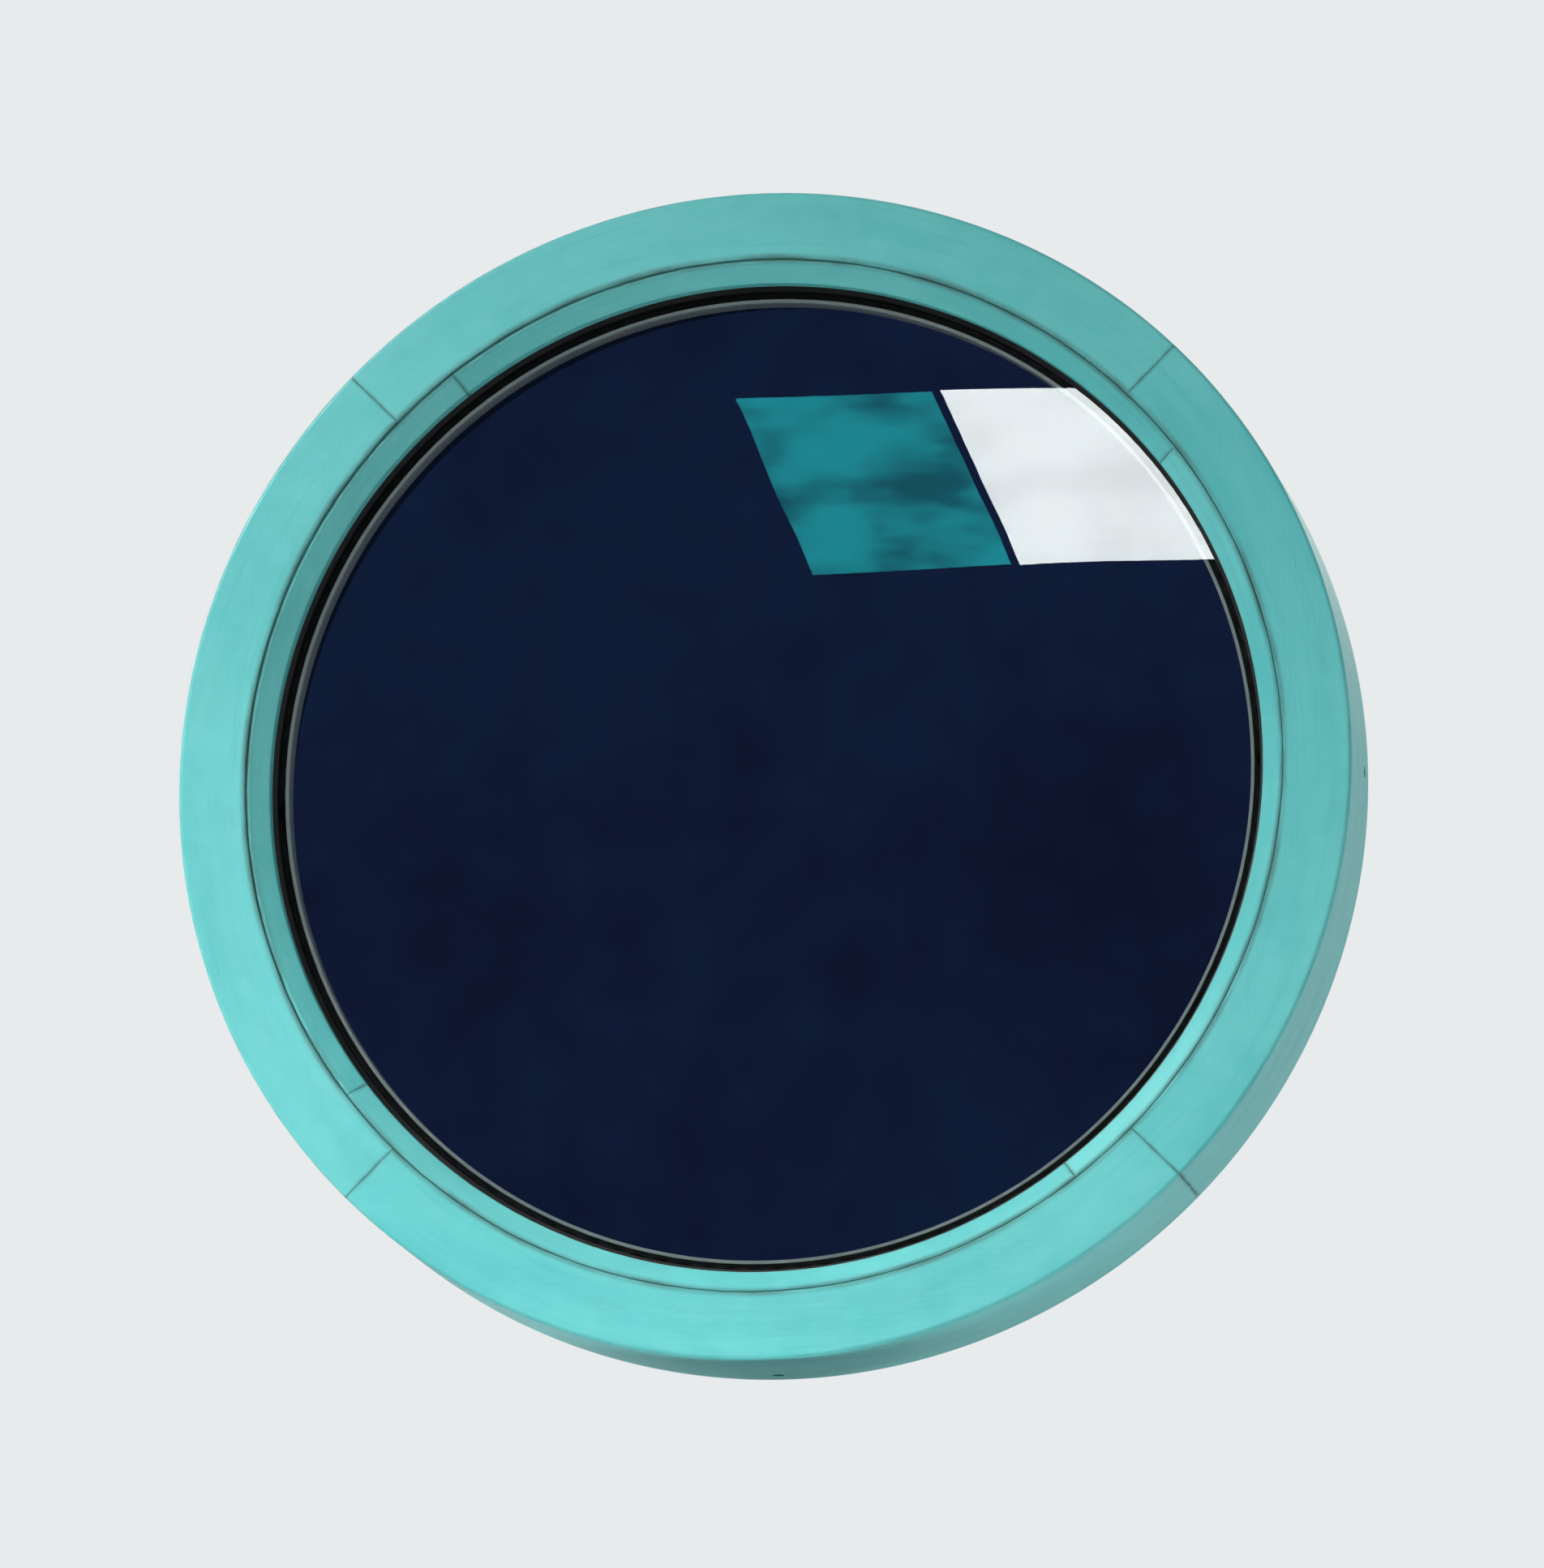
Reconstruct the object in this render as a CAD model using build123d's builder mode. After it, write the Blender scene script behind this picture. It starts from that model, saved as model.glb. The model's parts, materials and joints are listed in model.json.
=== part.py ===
from build123d import *
from math import cos, degrees, radians, sin
import os

# Round fixed window with a jointed timber frame and a sealed double glazed unit.
# The window stands upright: -Y is the weather side, +Y is the room side, +Z is up.
# The origin is the centre of the circle, halfway through the depth of the frame.
# A clock angle starts at the top and runs clockwise as seen from the weather side.

# Timber frame
frame_radius = 400
face_width = 46
upstand_depth = 44
first_joint_clock = 45
face_edge_radius = 3
quirk_bevel_length = 1.5
room_edge_radius = 5
wall_edge_bevel_length = 2

# Glazing bead, pinned into the rebate from the weather side
bead_width = 15
bead_depth = 18
bead_recess = 2
bead_flat_width = 2.5
bead_nose_depth = 9
bead_edge_radius = 1
bead_clearance = 0.2
bead_stagger = 8

# Lost head bead pins, punched below the nose of the bead
pin_radius = 1
pin_length = 38
pin_sink = 1.5
pin_set_back = 4.5
pin_spread = 28
pin_clearance = 0.1

# Sealed unit
pane_thickness = 4
pane_bevel_length = 0.5
cavity_width = 16
edge_clearance = 5
sealant_cover = 12
sealant_clearance = 0.1
spacer_height = 8
spacer_wall = 0.6
spacer_shoulder = 2.5
spacer_butt_gap = 0.4
butyl_thickness = 0.4
butyl_margin = 2.5
key_length = 60
filling_clearance = 0.4

# Gasket on the weather side and glazing tape on the room side
gasket_thickness = 3
gasket_lip = 3
gasket_lip_edge = 1.4
tape_thickness = 3
tape_inset = 1

# Blocks between the edge of the unit and the rebate
block_length = 60
block_clearance = 0.1
setting_block_spread = 30

# Floating tenons across each joint of the frame
tenon_length = 60
tenon_thickness = 10
tenon_cover = 8
tenon_clearance = 0.2
mortise_end_room = 1

# Fixing holes through the upstand, one in the middle of each frame piece
fixing_radius = 4
fixing_head_radius = 8
fixing_head_depth = 12

# Frame pieces in clock order, and the joint that each one starts at
frame_names = ["right", "sill", "left", "head"]
joint_names = ["upper_right", "lower_right", "lower_left", "upper_left"]
full_turn = 360
quarter = full_turn / len(frame_names)

# Radii that follow from the sizes above
rebate_radius = frame_radius - face_width
sight_radius = rebate_radius - bead_width
unit_radius = rebate_radius - edge_clearance
spacer_outer_radius = unit_radius - sealant_cover
spacer_inner_radius = spacer_outer_radius - spacer_height

# Depths along Y, from the weather side to the room side
glass_build_up = gasket_thickness + 2 * pane_thickness + cavity_width + tape_thickness
rebate_depth = bead_recess + bead_depth + glass_build_up
frame_depth = rebate_depth + upstand_depth
weather_face = -frame_depth / 2
bead_front = weather_face + bead_recess
bead_back = bead_front + bead_depth
outer_pane_front = bead_back + gasket_thickness
cavity_front = outer_pane_front + pane_thickness
cavity_back = cavity_front + cavity_width
inner_pane_back = cavity_back + pane_thickness
shoulder = inner_pane_back + tape_thickness
room_face = shoulder + upstand_depth
upstand_middle = shoulder + upstand_depth / 2
rebate_middle = weather_face + rebate_depth / 2
pin_line = bead_back - pin_set_back

# Each tenon as (name, radius of its centre, depth of its centre, width)
front_tenon = (
    "front_tenon",
    (rebate_radius + frame_radius) / 2,
    rebate_middle,
    face_width - 2 * tenon_cover,
)
rear_tenon = (
    "rear_tenon",
    (sight_radius + frame_radius) / 2,
    upstand_middle,
    frame_radius - sight_radius - 2 * tenon_cover,
)


def radial_plane(clock):
    # Contains the window's axis: local x is the radius and local y is the depth
    across = (sin(radians(clock)), 0, cos(radians(clock)))
    return Plane(origin=(0, 0, 0), x_dir=across, z_dir=(-across[2], 0, across[0]))


def outward_plane(clock, radius, depth):
    # Faces away from the window's axis, at one point of a circle about it
    across = Vector(sin(radians(clock)), 0, cos(radians(clock)))
    return Plane(origin=across * radius + Vector(0, depth, 0), z_dir=across)


def arc_angle(length, radius):
    return degrees(length / radius)


def piece_start(number):
    return first_joint_clock + quarter * number


def piece_middle(number):
    return piece_start(number) + quarter / 2


def corner_at(radius, depth):
    return vertices().sort_by_distance((radius, depth))[0]


def save(piece, label):
    piece.part.label = label
    export_step(piece.part, "parts/" + label + ".step")


def revolved_box(label, inner_radius, outer_radius, near, far, clock=0, arc=full_turn):
    with BuildPart() as piece:
        with BuildSketch(radial_plane(clock)):
            with Locations(((inner_radius + outer_radius) / 2, (near + far) / 2)):
                Rectangle(outer_radius - inner_radius, far - near)
        revolve(axis=Axis.Y, revolution_arc=arc)
    save(piece, label)


def bead_pin_clocks(bead):
    middle = piece_middle(bead) + bead_stagger
    return [(middle + turn) % full_turn for turn in (-pin_spread, 0, pin_spread)]


def all_pin_clocks():
    return [clock for bead in range(len(frame_names)) for clock in bead_pin_clocks(bead)]


def drill_for_pins(clocks):
    # From inside the nose of the bead, outwards into the frame
    for clock in clocks:
        with BuildSketch(outward_plane(clock, sight_radius - pin_sink, pin_line)) as bore:
            Circle(pin_radius + pin_clearance)
        reach = 2 * pin_sink + pin_length + pin_clearance
        extrude(bore.sketch, amount=reach, mode=Mode.SUBTRACT)


def cut_mortises(clock):
    for _, radius, depth, width in (front_tenon, rear_tenon):
        with BuildSketch(radial_plane(clock)) as mortise:
            with Locations((radius, depth)):
                SlotOverall(width + 2 * tenon_clearance, tenon_thickness + 2 * tenon_clearance)
        reach = tenon_length / 2 + mortise_end_room
        extrude(mortise.sketch, amount=reach, both=True, mode=Mode.SUBTRACT)


def make_frame_piece(number):
    start = piece_start(number)
    with BuildPart() as piece:
        with BuildSketch(radial_plane(start)):
            with BuildLine():
                Polyline(
                    (frame_radius, weather_face),
                    (rebate_radius, weather_face),
                    (rebate_radius, shoulder),
                    (sight_radius, shoulder),
                    (sight_radius, room_face),
                    (frame_radius, room_face),
                    close=True,
                )
            make_face()
            fillet(corner_at(frame_radius, weather_face), radius=face_edge_radius)
            fillet(corner_at(sight_radius, room_face), radius=room_edge_radius)
            chamfer(corner_at(rebate_radius, weather_face), length=quirk_bevel_length)
            chamfer(corner_at(frame_radius, room_face), length=wall_edge_bevel_length)
        revolve(axis=Axis.Y, revolution_arc=quarter)
        cut_mortises(start)
        cut_mortises(start + quarter)
        own_clocks = [c for c in all_pin_clocks() if (c - start) % full_turn < quarter]
        drill_for_pins(own_clocks)
        inwards = -outward_plane(piece_middle(number), sight_radius, upstand_middle)
        with Locations(inwards):
            CounterBoreHole(
                radius=fixing_radius,
                counter_bore_radius=fixing_head_radius,
                counter_bore_depth=fixing_head_depth,
                depth=frame_radius,
            )
    save(piece, "frame_" + frame_names[number])


def make_bead(number):
    outer_radius = rebate_radius - bead_clearance
    nose_front = bead_back - bead_nose_depth
    with BuildPart() as piece:
        with BuildSketch(radial_plane(piece_start(number) + bead_stagger)):
            with BuildLine():
                Polyline(
                    (outer_radius, bead_front),
                    (outer_radius - bead_flat_width, bead_front),
                    (sight_radius, nose_front),
                    (sight_radius, bead_back),
                    (outer_radius, bead_back),
                    close=True,
                )
            make_face()
            fillet(corner_at(sight_radius, nose_front), radius=bead_edge_radius)
            chamfer(corner_at(outer_radius, bead_front), length=bead_edge_radius)
        revolve(axis=Axis.Y, revolution_arc=quarter)
        drill_for_pins(bead_pin_clocks(number))
    save(piece, "bead_" + frame_names[number])


def make_bead_pins():
    with BuildPart() as pins:
        for clock in all_pin_clocks():
            with BuildSketch(outward_plane(clock, sight_radius + pin_sink, pin_line)):
                Circle(pin_radius)
            extrude(amount=pin_length)
    save(pins, "bead_pins")


def make_tenon(clock, place, tenon):
    name, radius, depth, width = tenon
    with BuildPart() as piece:
        with BuildSketch(radial_plane(clock)):
            with Locations((radius, depth)):
                SlotOverall(width, tenon_thickness)
        extrude(amount=tenon_length / 2, both=True)
    save(piece, name + "_" + place)


def make_pane(label, front):
    with BuildPart() as pane:
        with BuildSketch(Plane(origin=(0, front, 0), z_dir=(0, 1, 0))):
            Circle(unit_radius)
        extrude(amount=pane_thickness)
        chamfer(edges().filter_by(GeomType.CIRCLE), length=pane_bevel_length)
    save(pane, label)


def spacer_corners():
    # The side that faces the sealant has sloped shoulders
    near = cavity_front + butyl_thickness
    far = cavity_back - butyl_thickness
    return [
        (spacer_inner_radius, near),
        (spacer_outer_radius - spacer_shoulder, near),
        (spacer_outer_radius, near + spacer_shoulder),
        (spacer_outer_radius, far - spacer_shoulder),
        (spacer_outer_radius - spacer_shoulder, far),
        (spacer_inner_radius, far),
    ]


def make_spacer_bar():
    gap = arc_angle(spacer_butt_gap, spacer_inner_radius)
    with BuildPart() as bar:
        with BuildSketch(radial_plane(gap / 2)):
            with BuildLine():
                Polyline(*spacer_corners(), close=True)
            make_face()
            offset(amount=-spacer_wall, kind=Kind.INTERSECTION, mode=Mode.SUBTRACT)
        revolve(axis=Axis.Y, revolution_arc=full_turn - gap)
    save(bar, "spacer_bar")


def make_spacer_filling(label, clock, arc):
    with BuildPart() as filling:
        with BuildSketch(radial_plane(clock)):
            with BuildLine():
                Polyline(*spacer_corners(), close=True)
            make_face()
            inset = spacer_wall + filling_clearance
            offset(amount=-inset, kind=Kind.INTERSECTION, mode=Mode.REPLACE)
        revolve(axis=Axis.Y, revolution_arc=arc)
    save(filling, label)


def make_edge_sealant():
    shoulder_radius = spacer_outer_radius - spacer_shoulder + sealant_clearance
    back_radius = spacer_outer_radius + sealant_clearance
    slope_front = cavity_front + butyl_thickness + spacer_shoulder
    slope_back = cavity_back - butyl_thickness - spacer_shoulder
    with BuildPart() as sealant:
        with BuildSketch(radial_plane(0)):
            with BuildLine():
                Polyline(
                    (unit_radius, cavity_front),
                    (shoulder_radius, cavity_front),
                    (shoulder_radius, cavity_front + butyl_thickness),
                    (back_radius, slope_front),
                    (back_radius, slope_back),
                    (shoulder_radius, cavity_back - butyl_thickness),
                    (shoulder_radius, cavity_back),
                    (unit_radius, cavity_back),
                    close=True,
                )
            make_face()
        revolve(axis=Axis.Y)
    save(sealant, "edge_sealant")


def make_outer_gasket():
    lip_radius = sight_radius - gasket_lip
    with BuildPart() as gasket:
        with BuildSketch(radial_plane(0)):
            with BuildLine():
                Polyline(
                    (unit_radius, bead_back),
                    (sight_radius, bead_back),
                    (lip_radius, outer_pane_front - gasket_lip_edge),
                    (lip_radius, outer_pane_front),
                    (unit_radius, outer_pane_front),
                    close=True,
                )
            make_face()
        revolve(axis=Axis.Y)
    save(gasket, "outer_gasket")


def make_block(label, middle):
    arc = arc_angle(block_length, unit_radius)
    inner_radius = unit_radius + block_clearance
    outer_radius = rebate_radius - block_clearance
    start = middle - arc / 2
    revolved_box(label, inner_radius, outer_radius, outer_pane_front, inner_pane_back, start, arc)


os.makedirs("parts", exist_ok=True)

for number, joint_name in enumerate(joint_names):
    make_frame_piece(number)
    make_bead(number)
    for tenon in (front_tenon, rear_tenon):
        make_tenon(piece_start(number), joint_name, tenon)
make_bead_pins()

make_pane("outer_pane", outer_pane_front)
make_pane("inner_pane", cavity_back)
make_spacer_bar()
key_arc = arc_angle(key_length, spacer_inner_radius)
key_gap = arc_angle(filling_clearance, spacer_inner_radius)
make_spacer_filling("spacer_key", -key_arc / 2, key_arc)
make_spacer_filling("desiccant", key_arc / 2 + key_gap, full_turn - key_arc - 2 * key_gap)
make_edge_sealant()
butyl_inner_radius = spacer_inner_radius + butyl_margin
butyl_outer_radius = spacer_outer_radius - spacer_shoulder
revolved_box(
    "butyl_seal_outer", butyl_inner_radius, butyl_outer_radius,
    cavity_front, cavity_front + butyl_thickness,
)
revolved_box(
    "butyl_seal_inner", butyl_inner_radius, butyl_outer_radius,
    cavity_back - butyl_thickness, cavity_back,
)

make_outer_gasket()
revolved_box(
    "inner_glazing_tape", sight_radius + tape_inset, unit_radius,
    inner_pane_back, shoulder,
)

right, sill, left, head = [piece_middle(number) for number in range(len(frame_names))]
make_block("setting_block_right", sill - setting_block_spread)
make_block("setting_block_left", sill + setting_block_spread)
make_block("location_block_right", right)
make_block("location_block_left", left)
make_block("location_block_top", head)
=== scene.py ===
import bpy
import bmesh
import json
from math import cos, pi, radians, sin, tau
from mathutils import Matrix, Vector

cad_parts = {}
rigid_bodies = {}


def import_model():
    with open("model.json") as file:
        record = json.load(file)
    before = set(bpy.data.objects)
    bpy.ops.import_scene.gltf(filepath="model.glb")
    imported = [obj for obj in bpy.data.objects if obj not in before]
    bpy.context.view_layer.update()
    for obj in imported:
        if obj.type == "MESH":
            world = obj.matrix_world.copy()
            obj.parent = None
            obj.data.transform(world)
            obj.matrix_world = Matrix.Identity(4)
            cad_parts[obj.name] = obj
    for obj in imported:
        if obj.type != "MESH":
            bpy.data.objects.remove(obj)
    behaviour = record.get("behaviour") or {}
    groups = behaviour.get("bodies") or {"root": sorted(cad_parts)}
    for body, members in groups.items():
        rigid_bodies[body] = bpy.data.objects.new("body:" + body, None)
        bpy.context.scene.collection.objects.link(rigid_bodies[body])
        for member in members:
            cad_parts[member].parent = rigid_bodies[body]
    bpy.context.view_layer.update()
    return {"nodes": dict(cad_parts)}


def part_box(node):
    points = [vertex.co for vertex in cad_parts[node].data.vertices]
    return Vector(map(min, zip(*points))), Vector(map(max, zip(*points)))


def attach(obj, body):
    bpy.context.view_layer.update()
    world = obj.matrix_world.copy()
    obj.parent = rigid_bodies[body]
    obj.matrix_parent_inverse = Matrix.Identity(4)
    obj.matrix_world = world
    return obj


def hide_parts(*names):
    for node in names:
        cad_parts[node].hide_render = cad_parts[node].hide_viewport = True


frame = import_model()

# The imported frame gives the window's size and the depth of each layer, in metres.
# A clock angle starts at the top and runs clockwise as seen from the weather side.
NAMES = ["right", "sill", "left", "head"]
FRAME_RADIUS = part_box("frame_head")[1][2]
WEATHER_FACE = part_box("frame_head")[0][1]
ROOM_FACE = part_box("frame_head")[1][1]
BEAD_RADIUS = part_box("bead_head")[1][2]
BEAD_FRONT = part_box("bead_head")[0][1]
BEAD_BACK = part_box("bead_head")[1][1]
UNIT_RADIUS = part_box("outer_pane")[1][2]
SPACER_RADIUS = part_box("spacer_bar")[1][2]
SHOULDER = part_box("inner_glazing_tape")[1][1]
UPSTAND_MIDDLE = (SHOULDER + ROOM_FACE) / 2
GLASS_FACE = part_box("outer_pane")[0][1]
SPACER_MIDDLE = (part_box("spacer_bar")[0][1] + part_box("spacer_bar")[1][1]) / 2
PIN_SETBACK = 0.0045
PIN_LINE = BEAD_BACK - PIN_SETBACK

# Widths across the ring
BEAD_WIDTH = 0.015
BEAD_CLEARANCE = 0.0002
REBATE_RADIUS = BEAD_RADIUS + BEAD_CLEARANCE
SIGHT_RADIUS = REBATE_RADIUS - BEAD_WIDTH
BEAD_FLAT = 0.0025
BEAD_NOSE = 0.009
SPACER_HEIGHT = 0.008
SPACER_SHOULDER = 0.0025
GASKET_LIP = 0.003
GASKET_LIP_EDGE = 0.0014
PANE_ARRIS = 0.0005

# The small slots along the spacer bar
SLOT_PITCH = 0.004
SLOT_ROW = 0.0022

# How far each edge is rounded
FACE_EDGE = 0.003
QUIRK_EDGE = 0.0015
SHOULDER_EDGE = 0.001
ROOM_EDGE = 0.005
WALL_EDGE = 0.002
BEAD_EDGE = 0.001
BEAD_FLAT_EDGE = 0.0006
BEAD_BACK_EDGE = 0.0005
SPACER_EDGE = 0.0008
SPACER_BEND_EDGE = 0.0003
PAINT_ROUND = 0.0004

# Where the pieces of the ring start, and how far the bead joints are from the frame joints
FIRST_JOINT = radians(45)
QUARTER = tau / len(NAMES)
BEAD_STAGGER = radians(8)
PIN_SPREAD = radians(28)
JOINT_GAP = 0.0001
STEPS_PER_QUARTER = 96

# Fixing holes through the upstand
FIXING_RADIUS = 0.004
FIXING_HEAD_RADIUS = 0.008
FIXING_HEAD_DEPTH = 0.012
CUT_OVERSHOOT = 0.01
STEPS_ROUND_HOLE = 48

# Meshes: edges sharper than this stay sharp in the shading, and points this near are one point
SMOOTH_ANGLE = 35
PANE_SMOOTH_ANGLE = 15
SAME_PLACE = 1e-7


def srgb(red, green, blue):
    """A colour given in 0 to 255 screen values, as the linear values that a shader takes."""
    def linear(value):
        value = value / 255
        return value / 12.92 if value <= 0.04045 else ((value + 0.055) / 1.055) ** 2.4
    return (linear(red), linear(green), linear(blue), 1.0)


PAINT = srgb(92, 185, 184)
PAINT_LIGHT = srgb(112, 199, 197)
PAINT_DEEP = srgb(70, 168, 169)
# The colour of dirt, and of the painted shade in the quirk
DIRT_AND_SHADE_COLOUR = srgb(62, 96, 92)


# Shader building

def node(tree, kind, inputs=None, **settings):
    """Adds a node, sets it up, and links or fills the inputs that are named."""
    made = tree.nodes.new(kind)
    for name, value in settings.items():
        setattr(made, name, value)
    for name, value in (inputs or {}).items():
        if isinstance(value, bpy.types.NodeSocket):
            tree.links.new(value, made.inputs[name])
        else:
            made.inputs[name].default_value = value
    return made


def math(tree, operation, *values):
    return node(tree, "ShaderNodeMath", dict(enumerate(values)), operation=operation).outputs[0]


def scaled(tree, vector, scale):
    """A place stretched by its own amount along each axis."""
    inputs = {0: vector, 1: scale}
    return node(tree, "ShaderNodeVectorMath", inputs, operation="MULTIPLY").outputs[0]


def noise(tree, vector, scale, detail, seed):
    """Soft noise from 0 to 1. Another seed gives another pattern."""
    inputs = {"Vector": vector, "Scale": scale, "Detail": detail, "W": seed}
    return node(tree, "ShaderNodeTexNoise", inputs, noise_dimensions="4D").outputs["Fac"]


def ramp(tree, value, low, high, to_low=0.0, to_high=1.0):
    """Eases a value from one range to another and stops at both ends."""
    inputs = {"Value": value, "From Min": low, "From Max": high, "To Min": to_low, "To Max": to_high}
    made = node(tree, "ShaderNodeMapRange", inputs, interpolation_type="SMOOTHSTEP")
    return made.outputs["Result"]


def mix(tree, factor, first, second):
    """Mixes two numbers."""
    return node(tree, "ShaderNodeMix", {0: factor, 2: first, 3: second}).outputs[0]


def blend(tree, factor, first, second):
    """Mixes two colours."""
    made = node(tree, "ShaderNodeMix", data_type="RGBA")
    for index, value in ((0, factor), (6, first), (7, second)):
        if isinstance(value, bpy.types.NodeSocket):
            tree.links.new(value, made.inputs[index])
        else:
            made.inputs[index].default_value = value
    return made.outputs[2]


def new_group(name, inputs, outputs):
    """Starts a node group. Inputs are (name, kind, value) and outputs are (name, kind)."""
    tree = bpy.data.node_groups.new(name, "ShaderNodeTree")
    for label, kind, value in inputs:
        socket = tree.interface.new_socket(label, in_out="INPUT", socket_type="NodeSocket" + kind)
        if value is not None:
            socket.default_value = value
    for label, kind in outputs:
        tree.interface.new_socket(label, in_out="OUTPUT", socket_type="NodeSocket" + kind)
    return tree, tree.nodes.new("NodeGroupInput").outputs, tree.nodes.new("NodeGroupOutput").inputs


def use_group(tree, group, **inputs):
    """Places a group. Each input is named with an underscore for each space."""
    made = tree.nodes.new("ShaderNodeGroup")
    made.node_tree = group
    for name, value in inputs.items():
        name = name.replace("_", " ")
        if isinstance(value, bpy.types.NodeSocket):
            tree.links.new(value, made.inputs[name])
        else:
            made.inputs[name].default_value = value
    return made.outputs


def make_ring_coordinates():
    """Turns a place on the window into its run along the ring, its radius and its depth."""
    tree, given, result = new_group("ring coordinates", [("Vector", "Vector", None)], [
        ("Vector", "Vector"), ("Radius", "Float"), ("Depth", "Float"), ("To Joint", "Float")])
    parts = node(tree, "ShaderNodeSeparateXYZ", {0: given["Vector"]}).outputs
    clock = math(tree, "ARCTAN2", parts["X"], parts["Z"])
    across = node(tree, "ShaderNodeCombineXYZ", {"X": parts["X"], "Z": parts["Z"]}).outputs[0]
    radius = node(tree, "ShaderNodeVectorMath", {0: across}, operation="LENGTH").outputs["Value"]
    run = math(tree, "MULTIPLY", clock, (FRAME_RADIUS + SIGHT_RADIUS) / 2)
    place = node(tree, "ShaderNodeCombineXYZ", {"X": run, "Y": radius, "Z": parts["Y"]}).outputs[0]
    tree.links.new(place, result["Vector"])
    tree.links.new(radius, result["Radius"])
    tree.links.new(parts["Y"], result["Depth"])
    turn_left = math(tree, "SUBTRACT", QUARTER / 2, math(tree, "ABSOLUTE", clock))
    tree.links.new(math(tree, "MULTIPLY", turn_left, radius), result["To Joint"])
    return tree


def make_brush_marks():
    """Fine streaks that a brush leaves as it follows the ring, with softer lap marks."""
    tree, given, result = new_group("brush marks", [
        ("Vector", "Vector", None), ("Seed", "Float", 0.0)], [("Height", "Float"), ("Lap", "Float")])
    streaks = noise(tree, scaled(tree, given["Vector"], (14, 520, 520)), 1.0, 4.0, given["Seed"])
    drag = noise(tree, scaled(tree, given["Vector"], (6, 210, 210)), 1.0, 2.0, given["Seed"])
    lap = noise(tree, scaled(tree, given["Vector"], (7, 60, 60)), 1.0, 2.0, given["Seed"])
    height = math(tree, "MULTIPLY_ADD", streaks, 0.4, math(tree, "MULTIPLY", drag, 0.6))
    tree.links.new(height, result["Height"])
    tree.links.new(lap, result["Lap"])
    return tree


def make_dirt_and_quirk_shade():
    """A little dirt at the joints and in thin patches, and painted shade in the quirk round the bead.
    """
    tree, given, result = new_group("dirt and quirk shade", [
        ("Vector", "Vector", None), ("Radius", "Float", 0.0), ("Depth", "Float", 0.0),
        ("To Joint", "Float", 0.0), ("Seed", "Float", 0.0)], [("Fac", "Float")])
    patches = noise(tree, scaled(tree, given["Vector"], (20, 90, 90)), 1.0, 4.0, given["Seed"])
    from_quirk = math(tree, "ABSOLUTE", math(tree, "SUBTRACT", given["Radius"], REBATE_RADIUS))
    # Painted shade along the quirk between frame face and bead, on the weather face only
    quirk_shade = ramp(tree, from_quirk, 0.0008, 0.0048, 0.75, 0.0)
    in_front = ramp(tree, given["Depth"], BEAD_FRONT, BEAD_FRONT + 0.004, 1.0, 0.0)
    quirk_shade = math(tree, "MULTIPLY", quirk_shade, in_front)
    joint = ramp(tree, given["To Joint"], 0.0002, 0.0030, 0.6, 0.0)
    film = ramp(tree, patches, 0.5, 0.8, 0.0, 0.10)
    near = math(tree, "MAXIMUM", quirk_shade, joint)
    settled_dirt_and_shade = math(tree, "MULTIPLY_ADD", near, ramp(tree, patches, 0.3, 0.65, 0.35, 1.0), film)
    tree.links.new(settled_dirt_and_shade, result["Fac"])
    return tree


def make_timber_grain():
    """Straight growth rings and pores, running along the board that a piece was cut from."""
    tree, given, result = new_group("timber grain", [
        ("Vector", "Vector", None), ("Seed", "Float", 0.0)], [("Rings", "Float"), ("Pores", "Float")])
    wander = noise(tree, scaled(tree, given["Vector"], (2.2, 9, 9)), 1.0, 2.0, given["Seed"])
    parts = node(tree, "ShaderNodeSeparateXYZ", {0: given["Vector"]}).outputs
    spread = math(tree, "MULTIPLY_ADD", parts["Y"], 0.35, parts["Z"])
    wander = math(tree, "MULTIPLY", wander, 22.0)
    rings = math(tree, "SINE", math(tree, "MULTIPLY_ADD", spread, 1500.0, wander))
    pores = noise(tree, scaled(tree, given["Vector"], (24, 900, 900)), 1.0, 3.0, given["Seed"])
    tree.links.new(math(tree, "MULTIPLY_ADD", rings, 0.5, 0.5), result["Rings"])
    tree.links.new(ramp(tree, pores, 0.55, 0.75), result["Pores"])
    return tree


def make_mottle():
    """Slow and fine variation together, from 0 to 1, for colour and for gloss."""
    tree, given, result = new_group("mottle", [
        ("Vector", "Vector", None), ("Scale", "Float", 10.0), ("Seed", "Float", 0.0)],
        [("Fac", "Float")])
    slow = noise(tree, given["Vector"], given["Scale"], 2.0, given["Seed"])
    fine_scale = math(tree, "MULTIPLY", given["Scale"], 9.0)
    fine = noise(tree, given["Vector"], fine_scale, 3.0, given["Seed"])
    both = math(tree, "MULTIPLY_ADD", fine, 0.35, math(tree, "MULTIPLY", slow, 0.65))
    tree.links.new(both, result["Fac"])
    return tree


def make_dimples():
    """Shallow dips where the filler over three bead pins has sunk a little."""
    tree, given, result = new_group("pin dimples", [("Vector", "Vector", None)], [("Depth", "Float")])
    nearest = None
    for turn in (-PIN_SPREAD, 0, PIN_SPREAD):
        place = (SIGHT_RADIUS * sin(turn), PIN_LINE, SIGHT_RADIUS * cos(turn))
        inputs = {0: given["Vector"], 1: place}
        away = node(tree, "ShaderNodeVectorMath", inputs, operation="DISTANCE").outputs["Value"]
        nearest = away if nearest is None else math(tree, "MINIMUM", nearest, away)
    tree.links.new(ramp(tree, nearest, 0.0006, 0.0026, 1.0, 0.0), result["Depth"])
    return tree


RING_COORDINATES = make_ring_coordinates()
BRUSH_MARKS = make_brush_marks()
DIRT_AND_QUIRK_SHADE = make_dirt_and_quirk_shade()
TIMBER_GRAIN = make_timber_grain()
MOTTLE = make_mottle()
PIN_DIMPLES = make_dimples()


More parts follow.
